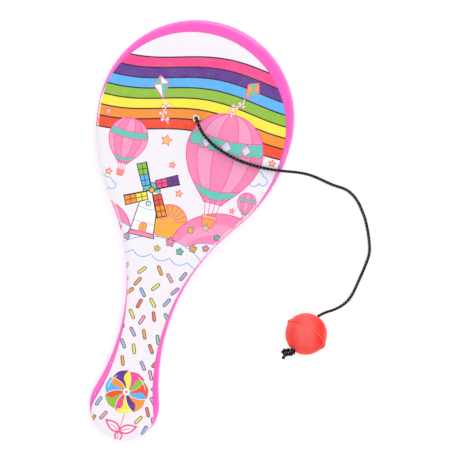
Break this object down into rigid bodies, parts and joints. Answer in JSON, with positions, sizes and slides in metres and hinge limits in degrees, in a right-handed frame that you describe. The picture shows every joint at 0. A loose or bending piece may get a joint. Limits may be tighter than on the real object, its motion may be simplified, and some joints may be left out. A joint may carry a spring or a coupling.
{
  "type": "paddle ball game",
  "caption": "Hand paddle with a ribbed hollow back and a printed face, and a small rubber ball tied to it by a knotted elastic cord.",
  "frame": {"origin": "on the axis of the cord's hole in the middle of the head, in the plane of the rim of the paddle's back", "axes": "+Z out of the printed face, +Y from the cord's hole to the top of the head, so the handle runs along -Y, and +X to the side of the ball"},
  "size_m": [0.1602, 0.2281, 0.0221],
  "materials": {
    "paddle_plastic": "glossy moulded plastic",
    "label_film": "printed film with a satin sheen",
    "elastic_braid": "fine black braid over elastic",
    "ball_rubber": "matt moulded rubber"
  },
  "bodies": {
    "paddle": {"paddle": "paddle_plastic", "face_label": "label_film"},
    "tether": {"cord": "elastic_braid", "back_knot": "elastic_braid"},
    "ball": {"ball": "ball_rubber"},
    "cord_end": {"ball_knot": "elastic_braid"}
  },
  "joints": [
    {"name": "cord_swivel", "type": "hinge", "parent": "paddle", "child": "tether", "pos_m": [0, 0, 0], "axis": [0, 0, 1], "range_deg": [-15, 225]},
    {"name": "ball_spin", "type": "hinge", "parent": "tether", "child": "ball", "pos_m": [0.0842, -0.0968, 0.0111], "axis": [0.3485, 0.8627, -0.3665], "continuous": true},
    {"name": "knot_draw", "type": "slide", "parent": "ball", "child": "cord_end", "axis": [-0.3485, -0.8627, 0.3665], "range_m": [0, 0.006]}
  ]
}
